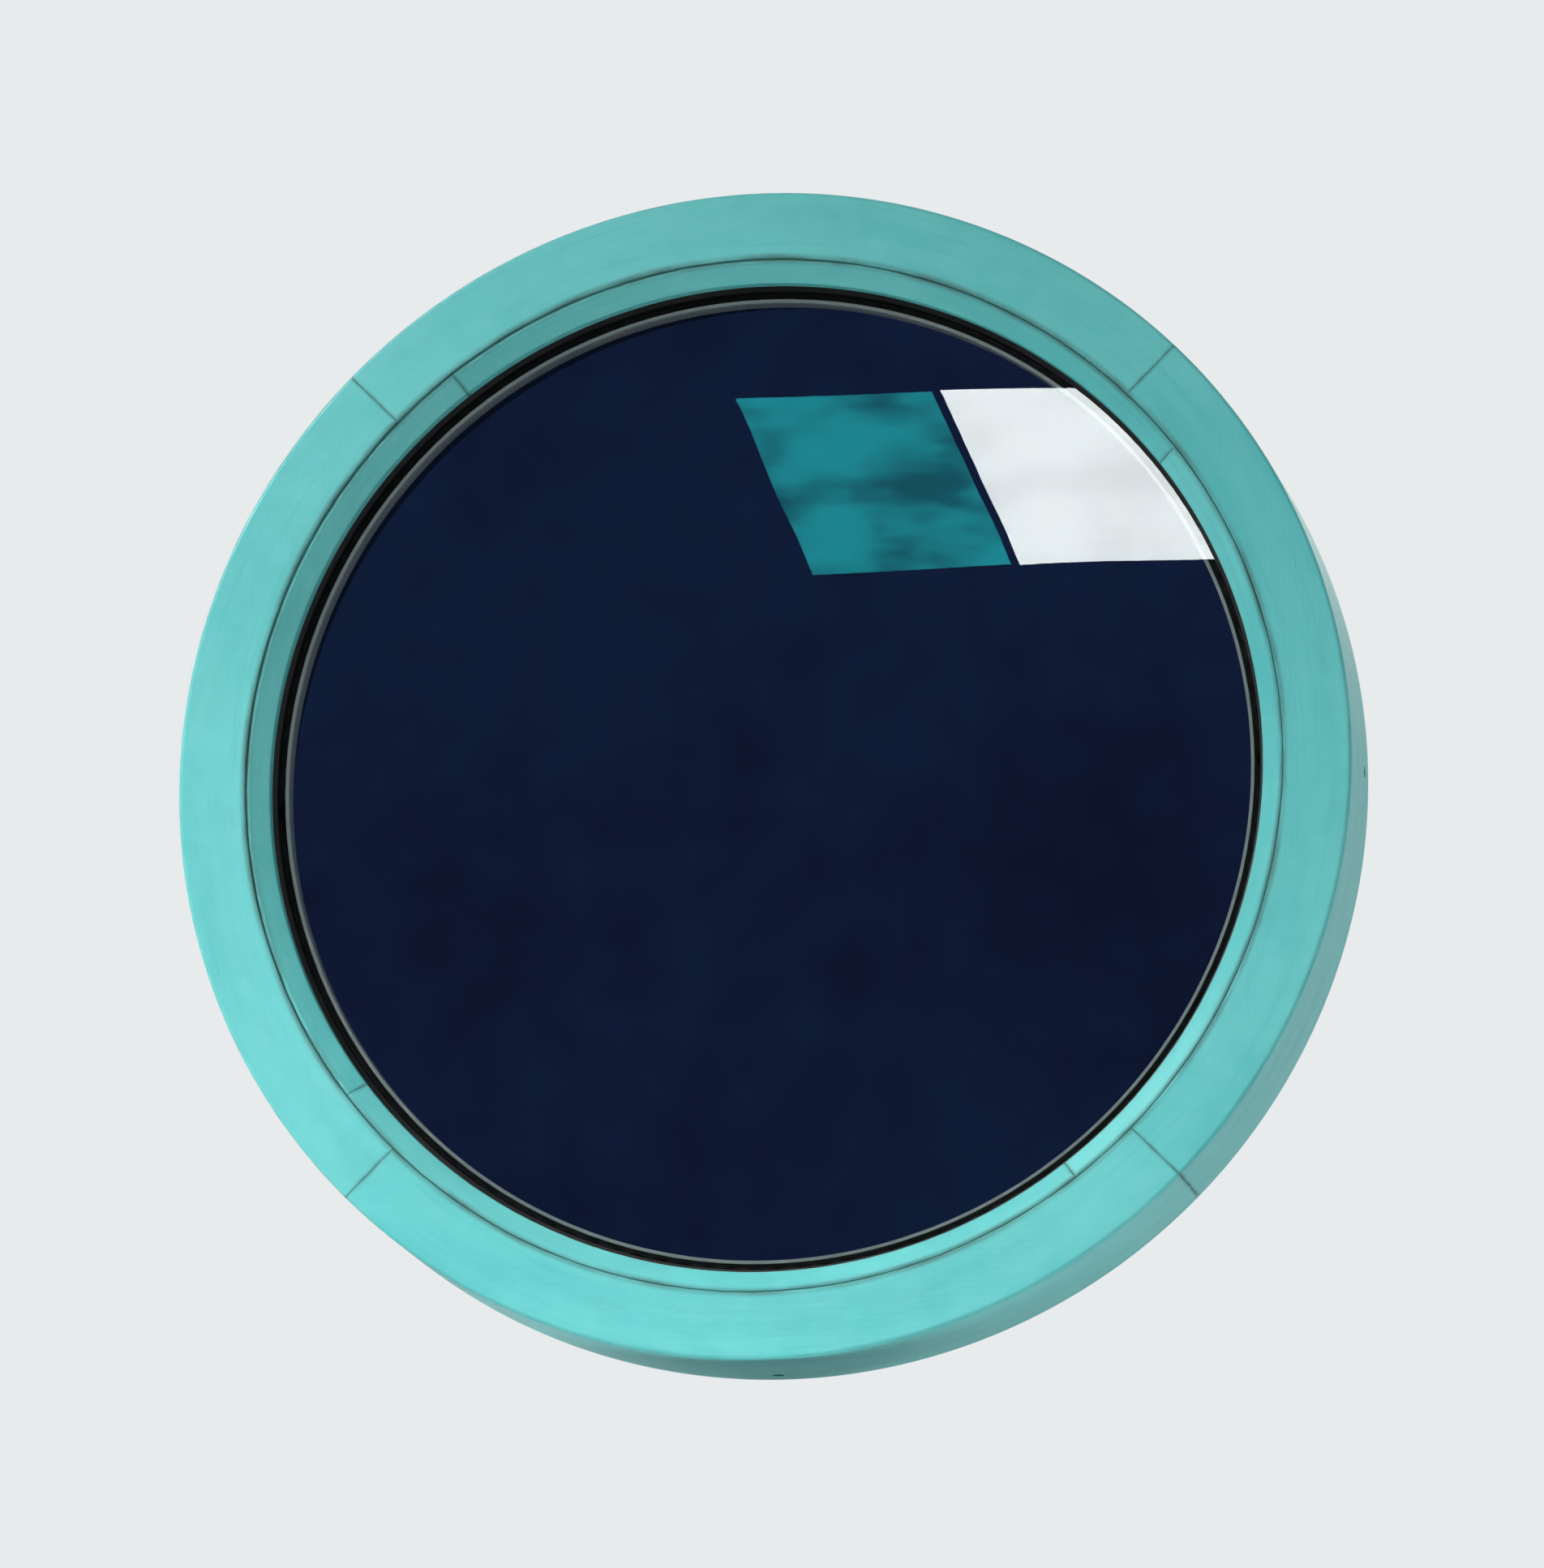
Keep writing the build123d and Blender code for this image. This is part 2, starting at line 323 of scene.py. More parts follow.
def start_material(name, colour, roughness, **constants):
    """A material with a Principled shader, its constants set on the shader itself."""
    made = bpy.data.materials.new(name)
    made.use_nodes = True
    tree = made.node_tree
    shader = tree.nodes["Principled BSDF"]
    shader.inputs["Base Color"].default_value = colour
    shader.inputs["Roughness"].default_value = roughness
    for label, value in constants.items():
        shader.inputs[label.replace("_", " ")].default_value = value
    made.diffuse_color = colour
    return made, tree, shader.inputs


def object_place(tree, turn=0.0):
    """Object coordinates, turned about the window's axis so that one clock angle is on top."""
    place = node(tree, "ShaderNodeTexCoord").outputs["Object"]
    if turn == 0.0:
        return place
    return node(tree, "ShaderNodeMapping", {"Vector": place, "Rotation": (0, -turn, 0)}).outputs[0]


def set_bump(tree, shader, height, distance, strength):
    """Raises the surface by a height pattern, without changing its outline."""
    inputs = {"Height": height, "Distance": distance, "Strength": strength}
    tree.links.new(node(tree, "ShaderNodeBump", inputs).outputs[0], shader["Normal"])


def painted_timber(name, middle, seed, with_pins=False):
    """Satin paint over planed timber: brush marks follow the ring, grain follows the board."""
    made, tree, shader = start_material(name, PAINT, 0.44, Specular_IOR_Level=0.34)
    place = object_place(tree, middle)
    ring = use_group(tree, RING_COORDINATES, Vector=place)
    brush = use_group(tree, BRUSH_MARKS, Vector=ring["Vector"], Seed=seed)
    grain = use_group(tree, TIMBER_GRAIN, Vector=place, Seed=seed)
    mottle = use_group(tree, MOTTLE, Vector=place, Scale=5.0, Seed=seed)["Fac"]
    patch = ramp(tree, mottle, 0.36, 0.64)
    colour = blend(tree, patch, PAINT_DEEP, PAINT_LIGHT)
    colour = blend(tree, 0.62, colour, PAINT)
    lap = ramp(tree, brush["Lap"], 0.35, 0.65, 0.0, 0.3)
    colour = blend(tree, lap, colour, PAINT_LIGHT)
    thin_paint = ramp(tree, brush["Height"], 0.3, 0.48, 0.34, 0.0)
    colour = blend(tree, thin_paint, colour, PAINT_DEEP)
    pore_shade = math(tree, "MULTIPLY", grain["Pores"], 0.16)
    colour = blend(tree, pore_shade, colour, PAINT_DEEP)
    # Dirt at the joints and in patches, and painted shade in the quirk, darken the paint
    dirt_and_quirk_shade = use_group(
        tree, DIRT_AND_QUIRK_SHADE, Vector=ring["Vector"], Radius=ring["Radius"], Depth=ring["Depth"],
        To_Joint=ring["To Joint"], Seed=seed)["Fac"]
    tree.links.new(blend(tree, dirt_and_quirk_shade, colour, DIRT_AND_SHADE_COLOUR), shader["Base Color"])
    gloss = math(tree, "MULTIPLY_ADD", brush["Height"], 0.16, 0.33)
    gloss = math(tree, "MULTIPLY_ADD", grain["Pores"], 0.08, gloss)
    tree.links.new(math(tree, "MULTIPLY_ADD", dirt_and_quirk_shade, 0.3, gloss), shader["Roughness"])
    raised = math(tree, "MULTIPLY", brush["Height"], 0.8)
    raised = math(tree, "MULTIPLY_ADD", grain["Rings"], 0.10, raised)
    raised = math(tree, "MULTIPLY_ADD", grain["Pores"], -0.22, raised)
    if with_pins:
        dips = use_group(tree, PIN_DIMPLES, Vector=place)["Depth"]
        raised = math(tree, "MULTIPLY_ADD", dips, -1.2, raised)
    set_bump(tree, shader, raised, 0.00026, 0.8)
    return made


def clear_glass():
    """Float glass with a faint roller wave and a thin uneven film from the rain."""
    made, tree, shader = start_material(
        "clear_glass", srgb(240, 250, 248), 0.0, Transmission_Weight=1.0, IOR=1.52)
    place = object_place(tree)
    wave = noise(tree, scaled(tree, place, (3.0, 1.0, 7.0)), 1.0, 1.0, 3.1)
    run_down = scaled(tree, place, (1.0, 1.0, 0.3))
    film = use_group(tree, MOTTLE, Vector=run_down, Scale=14.0, Seed=2.0)["Fac"]
    tint = blend(tree, ramp(tree, film, 0.3, 0.8), srgb(246, 253, 252), srgb(230, 244, 242))
    tree.links.new(tint, shader["Base Color"])
    set_bump(tree, shader, wave, 0.0006, 0.35)
    return made


def room_shade_glass():
    """The room side pane: body tinted dark blue as painted shade of the dark room, as the glass looks
    from outside.
    """
    made, tree, shader = start_material(
        "tinted_glass", srgb(16, 28, 58), 0.0, Transmission_Weight=1.0, IOR=1.52)
    place = object_place(tree)
    wave = noise(tree, scaled(tree, place, (6.0, 1.0, 2.5)), 1.0, 1.0, 7.4)
    depth = use_group(tree, MOTTLE, Vector=place, Scale=3.0, Seed=5.0)["Fac"]
    tint = blend(tree, ramp(tree, depth, 0.35, 0.65), srgb(13, 23, 52), srgb(19, 33, 66))
    tree.links.new(tint, shader["Base Color"])
    set_bump(tree, shader, wave, 0.0008, 0.35)
    return made


def spacer_metal():
    """Satin anodised aluminium, rolled along its length, with two rows of tiny breathing slots."""
    made, tree, shader = start_material(
        "spacer_aluminium", srgb(214, 217, 219), 0.34, Metallic=0.3)
    place = object_place(tree)
    ring = use_group(tree, RING_COORDINATES, Vector=place)
    rolled = noise(tree, scaled(tree, ring["Vector"], (6, 2400, 2400)), 1.0, 3.0, 1.0)
    colour = blend(tree, rolled, srgb(196, 200, 203), srgb(230, 232, 233))
    tree.links.new(ramp(tree, rolled, 0.3, 0.7, 0.26, 0.42), shader["Roughness"])
    parts = node(tree, "ShaderNodeSeparateXYZ", {0: ring["Vector"]}).outputs
    beat = math(tree, "PINGPONG", parts["X"], SLOT_PITCH / 2)
    along = ramp(tree, beat, 0.0004, 0.0008, 1.0, 0.0)
    from_middle = math(tree, "ABSOLUTE", math(tree, "SUBTRACT", ring["Depth"], SPACER_MIDDLE))
    from_row = math(tree, "ABSOLUTE", math(tree, "SUBTRACT", from_middle, SLOT_ROW))
    slot = math(tree, "MULTIPLY", along, ramp(tree, from_row, 0.0003, 0.0006, 1.0, 0.0))
    # Painted shade: the slots are coloured near black for the shade inside them, and pressed in by
    # the bump
    tree.links.new(blend(tree, slot, colour, srgb(40, 40, 42)), shader["Base Color"])
    height = math(tree, "SUBTRACT", math(tree, "MULTIPLY", rolled, 0.15), slot)
    set_bump(tree, shader, height, 0.0002, 0.7)
    return made


def black_rubber(name, shade, roughness, streak, cell=0.0):
    """Rubber and sealants: extrusion streaks along the ring, and cells where it is foamed."""
    colour = srgb(shade, shade, shade + 2)
    made, tree, shader = start_material(name, colour, roughness)
    place = object_place(tree)
    ring = use_group(tree, RING_COORDINATES, Vector=place)
    streaks = noise(tree, scaled(tree, ring["Vector"], (8, streak, streak)), 1.0, 3.0, 4.0)
    dust = use_group(tree, MOTTLE, Vector=place, Scale=60.0, Seed=1.0)["Fac"]
    bloom = ramp(tree, dust, 0.45, 0.75, 0.0, 0.5)
    dusty = srgb(shade + 22, shade + 22, shade + 24)
    tree.links.new(blend(tree, bloom, colour, dusty), shader["Base Color"])
    tree.links.new(math(tree, "MULTIPLY_ADD", dust, 0.25, roughness - 0.1), shader["Roughness"])
    height = streaks
    if cell > 0.0:
        inputs = {"Vector": place, "Scale": cell}
        bubbles = node(tree, "ShaderNodeTexVoronoi", inputs).outputs["Distance"]
        height = math(tree, "MULTIPLY_ADD", bubbles, 0.8, math(tree, "MULTIPLY", streaks, 0.2))
    set_bump(tree, shader, height, 0.0003, 0.6)
    return made


def beech(name):
    """Bare planed beech with its short dark flecks."""
    made, tree, shader = start_material(name, srgb(206, 168, 124), 0.55)
    place = object_place(tree)
    grain = use_group(tree, TIMBER_GRAIN, Vector=scaled(tree, place, (0.6, 1.0, 0.6)), Seed=9.0)
    colour = blend(tree, grain["Rings"], srgb(213, 176, 133), srgb(190, 148, 104))
    colour = blend(tree, math(tree, "MULTIPLY", grain["Pores"], 0.7), colour, srgb(140, 98, 62))
    tree.links.new(colour, shader["Base Color"])
    tree.links.new(math(tree, "MULTIPLY_ADD", grain["Pores"], 0.2, 0.5), shader["Roughness"])
    set_bump(tree, shader, grain["Rings"], 0.0002, 0.4)
    return made


def moulded_plastic(name, colour, deep):
    """Moulded plastic with a fine spark eroded texture."""
    made, tree, shader = start_material(name, colour, 0.45)
    place = object_place(tree)
    mottle = use_group(tree, MOTTLE, Vector=place, Scale=90.0, Seed=3.0)["Fac"]
    grit = noise(tree, place, 2600.0, 2.0, 6.0)
    tree.links.new(blend(tree, ramp(tree, mottle, 0.3, 0.7), deep, colour), shader["Base Color"])
    tree.links.new(math(tree, "MULTIPLY_ADD", mottle, 0.25, 0.32), shader["Roughness"])
    set_bump(tree, shader, grit, 0.00008, 0.6)
    return made


def drawn_wire(name):
    """Stainless wire with fine lines from the drawing die."""
    made, tree, shader = start_material(name, srgb(186, 186, 184), 0.3, Metallic=1.0)
    place = object_place(tree)
    lines = noise(tree, scaled(tree, place, (40, 3000, 40)), 1.0, 3.0, 2.0)
    tree.links.new(blend(tree, lines, srgb(160, 160, 158), srgb(205, 205, 203)), shader["Base Color"])
    tree.links.new(ramp(tree, lines, 0.3, 0.7, 0.22, 0.4), shader["Roughness"])
    set_bump(tree, shader, lines, 0.00005, 0.5)
    return made


def desiccant_grain(name):
    """Small buff beads, packed tight."""
    made, tree, shader = start_material(name, srgb(205, 193, 168), 0.8)
    place = object_place(tree)
    inputs = {"Vector": place, "Scale": 900.0}
    cells = node(tree, "ShaderNodeTexVoronoi", inputs)
    dome_and_gap_shade = ramp(tree, cells.outputs["Distance"], 0.0, 0.6, 1.0, 0.0)
    tone = node(tree, "ShaderNodeSeparateColor", {0: cells.outputs["Color"]}).outputs[0]
    colour = blend(tree, tone, srgb(190, 176, 150), srgb(218, 207, 184))
    # Painted shade darkens the gaps between the beads; the same mask raises each bead in the bump
    colour = blend(tree, dome_and_gap_shade, srgb(120, 108, 88), colour)
    tree.links.new(colour, shader["Base Color"])
    tree.links.new(math(tree, "MULTIPLY_ADD", tone, 0.15, 0.7), shader["Roughness"])
    set_bump(tree, shader, dome_and_gap_shade, 0.0005, 0.8)
    return made


# Mesh building

def profile_face(bm, corners):
    """A flat face in the plane of the top of the window. Each corner is (radius, depth, round)."""
    verts = [bm.verts.new((0.0, depth, radius)) for radius, depth, _ in corners]
    bm.faces.new(verts)
    for vert, (_, _, soft) in zip(verts, corners):
        if soft > 0.0:
            bmesh.ops.bevel(
                bm, geom=[vert], offset=soft, offset_type="OFFSET", affect="VERTICES",
                segments=6 if soft > 0.001 else 3, profile=0.5, material=-1)
    bm.faces.ensure_lookup_table()
    return bm.faces[0]


def finish_mesh(bm, name, smooth_angle=SMOOTH_ANGLE):
    """Turns a built shape into an object, smooth apart from its sharp edges."""
    bmesh.ops.remove_doubles(bm, verts=bm.verts, dist=SAME_PLACE)
    bmesh.ops.recalc_face_normals(bm, faces=bm.faces)
    mesh = bpy.data.meshes.new(name)
    bm.to_mesh(mesh)
    bm.free()
    for polygon in mesh.polygons:
        polygon.use_smooth = True
    mesh.set_sharp_from_angle(angle=radians(smooth_angle))
    made = bpy.data.objects.new(name, mesh)
    bpy.context.scene.collection.objects.link(made)
    return made


def spin_piece(name, corners, start, arc):
    """Sweeps a section about the window's axis and softens the two ends."""
    bm = bmesh.new()
    face = profile_face(bm, corners)
    bmesh.ops.spin(
        bm, geom=[face], cent=(0, 0, 0), axis=(0, 1, 0), angle=arc,
        steps=STEPS_PER_QUARTER, use_duplicate=False)
    bmesh.ops.rotate(bm, verts=bm.verts, cent=(0, 0, 0), matrix=Matrix.Rotation(start, 3, "Y"))
    caps = [f for f in bm.faces if len(f.verts) > 4]
    edges = list({edge for cap in caps for edge in cap.edges})
    bmesh.ops.recalc_face_normals(bm, faces=bm.faces)
    bmesh.ops.bevel(
        bm, geom=edges, offset=PAINT_ROUND, offset_type="OFFSET", affect="EDGES",
        segments=2, profile=0.5, material=-1)
    return finish_mesh(bm, name)


def spin_ring(name, corners):
    """Sweeps a section all the way round."""
    bm = bmesh.new()
    face = profile_face(bm, corners)
    edges = list(face.edges)
    bmesh.ops.delete(bm, geom=[face], context="FACES_ONLY")
    verts = list({vert for edge in edges for vert in edge.verts})
    bmesh.ops.spin(
        bm, geom=verts + edges, cent=(0, 0, 0), axis=(0, 1, 0), angle=tau,
        steps=4 * STEPS_PER_QUARTER, use_merge=True, use_duplicate=False)
    return finish_mesh(bm, name)


def drill_fixing(piece, middle):
    """Cuts the stepped screw hole through the upstand."""
    bm = bmesh.new()
    reach = FRAME_RADIUS + CUT_OVERSHOOT
    step = SIGHT_RADIUS + FIXING_HEAD_DEPTH
    inside = SIGHT_RADIUS - CUT_OVERSHOOT
    outline = [(0, inside), (FIXING_HEAD_RADIUS, inside), (FIXING_HEAD_RADIUS, step),
               (FIXING_RADIUS, step), (FIXING_RADIUS, reach), (0, reach)]
    verts = [bm.verts.new((across, UPSTAND_MIDDLE, along)) for across, along in outline]
    edges = [bm.edges.new(pair) for pair in zip(verts, verts[1:])]
    bmesh.ops.spin(
        bm, geom=verts + edges, cent=(0, UPSTAND_MIDDLE, 0), axis=(0, 0, 1), angle=tau,
        steps=STEPS_ROUND_HOLE, use_merge=True, use_duplicate=False)
    bmesh.ops.remove_doubles(bm, verts=bm.verts, dist=SAME_PLACE)
    bmesh.ops.rotate(bm, verts=bm.verts, cent=(0, 0, 0), matrix=Matrix.Rotation(middle, 3, "Y"))
    cutter = finish_mesh(bm, "fixing_cutter")
    cut = piece.modifiers.new("fixing", "BOOLEAN")
    cut.operation = "DIFFERENCE"
    cut.solver = "EXACT"
    cut.object = cutter
    graph = bpy.context.evaluated_depsgraph_get()
    shape = bpy.data.meshes.new_from_object(piece.evaluated_get(graph))
    piece.modifiers.clear()
    piece.data = shape
    for polygon in shape.polygons:
        polygon.use_smooth = True
    shape.set_sharp_from_angle(angle=radians(SMOOTH_ANGLE))
    bpy.data.objects.remove(cutter)


def even_faces(piece):
    """Keeps wide faces flat in the shading, and leaves the turn of the surface to the round edges."""
    even = piece.modifiers.new("even_faces", "WEIGHTED_NORMAL")
    even.keep_sharp = True


def place_piece(piece, nodes, material):
    """Gives a new piece its body and its finish, and hides the nodes that it stands for."""
    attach(piece, "root")
    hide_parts(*nodes)
    piece.data.materials.clear()
    piece.data.materials.append(material)


def make_frame():
    """The four curved frame pieces, with a stepped rebate and a fixing hole in each."""
    corners = [
        (FRAME_RADIUS, WEATHER_FACE, FACE_EDGE), (REBATE_RADIUS, WEATHER_FACE, QUIRK_EDGE),
        (REBATE_RADIUS, SHOULDER, 0.0), (SIGHT_RADIUS, SHOULDER, SHOULDER_EDGE),
        (SIGHT_RADIUS, ROOM_FACE, ROOM_EDGE), (FRAME_RADIUS, ROOM_FACE, WALL_EDGE)]
    trim = JOINT_GAP / FRAME_RADIUS
    for number, name in enumerate(NAMES):
        start = FIRST_JOINT + QUARTER * number
        middle = start + QUARTER / 2
        piece = spin_piece("painted_frame_" + name, corners, start + trim, QUARTER - 2 * trim)
        drill_fixing(piece, middle)
        even_faces(piece)
        finish = painted_timber("frame_paint_" + name, middle, 3.0 + 5.0 * number)
        place_piece(piece, ["frame_" + name], finish)


def make_beads():
    """The four curved beads, chamfered towards the glass, their joints clear of the frame's."""
    corners = [
        (BEAD_RADIUS, BEAD_FRONT, BEAD_EDGE), (BEAD_RADIUS - BEAD_FLAT, BEAD_FRONT, BEAD_FLAT_EDGE),
        (SIGHT_RADIUS, BEAD_BACK - BEAD_NOSE, BEAD_EDGE), (SIGHT_RADIUS, BEAD_BACK, BEAD_BACK_EDGE),
        (BEAD_RADIUS, BEAD_BACK, 0.0)]
    trim = JOINT_GAP / BEAD_RADIUS
    for number, name in enumerate(NAMES):
        start = FIRST_JOINT + QUARTER * number + BEAD_STAGGER
        middle = start + QUARTER / 2
        piece = spin_piece("painted_bead_" + name, corners, start + trim, QUARTER - 2 * trim)
        even_faces(piece)
        finish = painted_timber("bead_paint_" + name, middle, 31.0 + 5.0 * number, with_pins=True)
        place_piece(piece, ["bead_" + name], finish)


def make_pane(node_name, material):
    """A round pane. Its flat faces stay exactly flat in the shading, so that it mirrors truly."""
    (_, near, _), (_, far, _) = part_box(node_name)
    bm = bmesh.new()
    bmesh.ops.create_circle(
        bm, cap_ends=True, radius=UNIT_RADIUS, segments=4 * STEPS_PER_QUARTER,
        matrix=Matrix.Translation((0, near, 0)) @ Matrix.Rotation(pi / 2, 4, "X"))
    lifted = bmesh.ops.extrude_face_region(bm, geom=list(bm.faces))
    moved = [item for item in lifted["geom"] if isinstance(item, bmesh.types.BMVert)]
    bmesh.ops.translate(bm, verts=moved, vec=(0, far - near, 0))
    rims = [edge for edge in bm.edges if abs(edge.verts[0].co.y - edge.verts[1].co.y) < 1e-6]
    bmesh.ops.recalc_face_normals(bm, faces=bm.faces)
    bmesh.ops.bevel(
        bm, geom=rims, offset=PANE_ARRIS, offset_type="OFFSET", affect="EDGES",
        segments=2, profile=0.5, material=-1)
    piece = finish_mesh(bm, node_name + "_glass", PANE_SMOOTH_ANGLE)
    place_piece(piece, [node_name], material)


def make_gasket():
    """The rubber between beads and glass, with a lip that shows past the beads."""
    near, far = BEAD_BACK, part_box("outer_gasket")[1][1]
    corners = [
        (UNIT_RADIUS, near, 0.0), (SIGHT_RADIUS, near, 0.0004),
        (SIGHT_RADIUS - GASKET_LIP, far - GASKET_LIP_EDGE, 0.0006),
        (SIGHT_RADIUS - GASKET_LIP, far, 0.0002), (UNIT_RADIUS, far, 0.0)]
    piece = spin_ring("glazing_gasket", corners)
    place_piece(piece, ["outer_gasket"], black_rubber("gasket_rubber", 22, 0.5, 1800))


def make_spacer():
    """The metal bar between the panes, bent into a ring."""
    (_, near, _), (_, far, _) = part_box("spacer_bar")
    inner = SPACER_RADIUS - SPACER_HEIGHT
    corners = [
        (inner, near, SPACER_EDGE), (SPACER_RADIUS - SPACER_SHOULDER, near, SPACER_BEND_EDGE),
        (SPACER_RADIUS, near + SPACER_SHOULDER, SPACER_BEND_EDGE),
        (SPACER_RADIUS, far - SPACER_SHOULDER, SPACER_BEND_EDGE),
        (SPACER_RADIUS - SPACER_SHOULDER, far, SPACER_BEND_EDGE), (inner, far, SPACER_EDGE)]
    piece = spin_ring("bent_spacer", corners)
    place_piece(piece, ["spacer_bar"], spacer_metal())


def dress_nodes(names, material):
    """Gives carried over nodes their finish."""
    for name in names:
        for slot in bpy.data.objects[name].material_slots:
            slot.material = material


def dress_inner_pieces():
    """Finishes for the pieces that keep the shape they came with."""
    nodes = list(frame["nodes"])
    dress_nodes([n for n in nodes if "tenon_" in n], beech("beech_tenon"))
    dress_nodes(["bead_pins"], drawn_wire("stainless_pin"))
    dress_nodes([n for n in nodes if "_block_" in n],
                moulded_plastic("block_plastic", srgb(176, 60, 48), srgb(150, 46, 38)))
    dress_nodes(["spacer_key"],
                moulded_plastic("spacer_key_plastic", srgb(58, 58, 62), srgb(44, 44, 47)))
    dress_nodes(["desiccant"], desiccant_grain("desiccant_beads"))
    dress_nodes(["edge_sealant"], black_rubber("edge_sealant", 16, 0.62, 700))
    dress_nodes(["butyl_seal_outer", "butyl_seal_inner"], black_rubber("butyl", 20, 0.38, 500))
    dress_nodes(["inner_glazing_tape"], black_rubber("glazing_tape", 28, 0.8, 300, cell=1600.0))


# Camera, light and surroundings

# Strengths of the surroundings: as seen, as mirrored, for soft light, and in front of the glass
PALE_LEVEL = 1.0
MIRROR_LEVEL = 0.75
SOFT_LEVEL = 0.27
FLAG_LEVEL = 0.02
BACKDROP = srgb(232, 235, 236)

# How far the lamps that the glass mirrors are behind their patch of glass
MIRRORED_DISTANCE = 3.0

# The share of a softbox's width that fades at each side
FEATHER = 0.3

# The floor shows this share of the backdrop's colour near the window, and all of it far away
FLOOR_GLOW = 0.5
FLOOR_NEAR = 0.8
FLOOR_FAR = 7.0
FLOOR_GAP = 0.0004


def make_camera():
    """Looks up at the window from below and from the right, as the photograph does."""
    offset = Vector((1.37, -8.0, -1.60))
    view_height = 1.06
    data = bpy.data.cameras.new("camera")
    data.sensor_width = 36
    data.lens = data.sensor_width * offset.length / view_height
    data.clip_end = 200
    camera = bpy.data.objects.new("camera", data)
    camera.location = offset
    camera.rotation_euler = (-offset).to_track_quat("-Z", "Y").to_euler()
    bpy.context.scene.collection.objects.link(camera)
    bpy.context.scene.camera = camera


def add_lamp(name, place, target, width, height, power, colour, spread=180):
    """A lamp aimed at a target. The camera and the view through the glass don't show it."""
    data = bpy.data.lights.new(name, "AREA")
    data.use_nodes = True
    data.spread = radians(spread)
    data.shape = "RECTANGLE"
    data.size = width
    data.size_y = height
    data.energy = power
    data.color = colour
    lamp = bpy.data.objects.new(name, data)
    lamp.location = place
    lamp.rotation_euler = (Vector(target) - Vector(place)).to_track_quat("-Z", "Y").to_euler()
    lamp.visible_camera = False
    lamp.visible_transmission = False
    bpy.context.scene.collection.objects.link(lamp)
    return lamp


def add_softbox(*settings):
    """A lamp that fades towards its edges, so that its mirror image has no hard outline.

    It takes what add_lamp takes. Its middle is brighter, so that its power stays the same.
    """
    tree = add_lamp(*settings).data.node_tree
    spot = node(tree, "ShaderNodeNewGeometry").outputs["Parametric"]
    spot = node(tree, "ShaderNodeSeparateXYZ", {0: spot}).outputs
    strength = 1 / (1 - FEATHER) ** 2
    for axis in ("X", "Y"):
        from_edge = math(tree, "PINGPONG", spot[axis], 0.5)
        strength = math(tree, "MULTIPLY", ramp(tree, from_edge, 0.0, FEATHER), strength)
    tree.links.new(strength, tree.nodes["Emission"].inputs["Strength"])


def add_mirrored_light(name, corner, across, up, radiance, colour, dimmest):
    """A lamp whose mirror image fills one four sided patch of the glass, as the camera sees it.

    The patch is given on the glass by one corner and two sides, each as (x, z). The lamp is tilted
    towards the camera's line of sight until its square corners look as slanted as the patch. Its
    brightness clouds over between the dimmest share and full.
    """
    eye = bpy.context.scene.camera.location
    behind = Vector((eye.x, 2 * GLASS_FACE - eye.y, eye.z))
    side, rise = Vector((across[0], 0, across[1])), Vector((up[0], 0, up[1]))
    middle = Vector((corner[0], GLASS_FACE, corner[1])) + side / 2 + rise / 2
    sight = (middle - behind).normalized()
    reach = 1 + MIRRORED_DISTANCE / (middle - behind).length
    side, rise = reach * (side - side.dot(sight) * sight), reach * (rise - rise.dot(sight) * sight)
    slant = side.dot(rise)
    tilt = abs(slant) ** 0.5
    side += tilt * sight
    rise -= slant / tilt * sight
    lamp = add_lamp(name, middle, middle + sight, side.length, rise.length, 1.0, colour)
    lamp.data.energy = radiance * pi * side.length * rise.length
    facing = side.cross(rise).normalized()
    axes = Matrix((side.normalized(), rise.normalized(), facing)).transposed()
    if facing.dot(sight) < 0:
        axes = axes @ Matrix.Rotation(pi, 3, "Y")
    lamp.matrix_world = Matrix.Translation(behind + (middle - behind) * reach) @ axes.to_4x4()
    tree = lamp.data.node_tree
    spot = node(tree, "ShaderNodeNewGeometry").outputs["Parametric"]
    clouds = noise(tree, scaled(tree, spot, (1.6, 3.4, 1)), 1.0, 5.0, 2.0)
    clouds = ramp(tree, clouds, 0.36, 0.62, dimmest, 1.0)
    tree.links.new(clouds, tree.nodes["Emission"].inputs["Strength"])


def make_lights():
    """Soft lamps from the upper left, a weak fill, one for the room side, and two for the glass."""
    add_softbox("key", (-3.7, -3.1, 3.3), (0, 0, 0), 2.0, 2.0, 76, (0.97, 0.99, 1.0))
    add_softbox("low_key", (-3.6, -3.6, 3.1), (0.15, 0, -0.95), 0.8, 0.8, 8.6, (1.0, 0.985, 0.97), 24)
    add_softbox("fill", (3.4, -3.6, 0.4), (0, 0, 0), 2.4, 2.4, 16, (0.94, 0.97, 1.0))
    add_softbox("room_side", (2.4, 3.8, 2.6), (0, 0, 0), 2.0, 2.0, 70, (1.0, 0.99, 0.97))
    lean = (-0.054, 0.122)
    add_mirrored_light("pale_pane", (0.173, 0.139), (0.15, 0.0), lean, 20.0, (0.93, 1.0, 1.0), 0.85)
    add_mirrored_light("teal_pane", (0.033, 0.139), (0.134, 0.0), lean, 6.0, (0.03, 0.85, 0.92), 0.3)


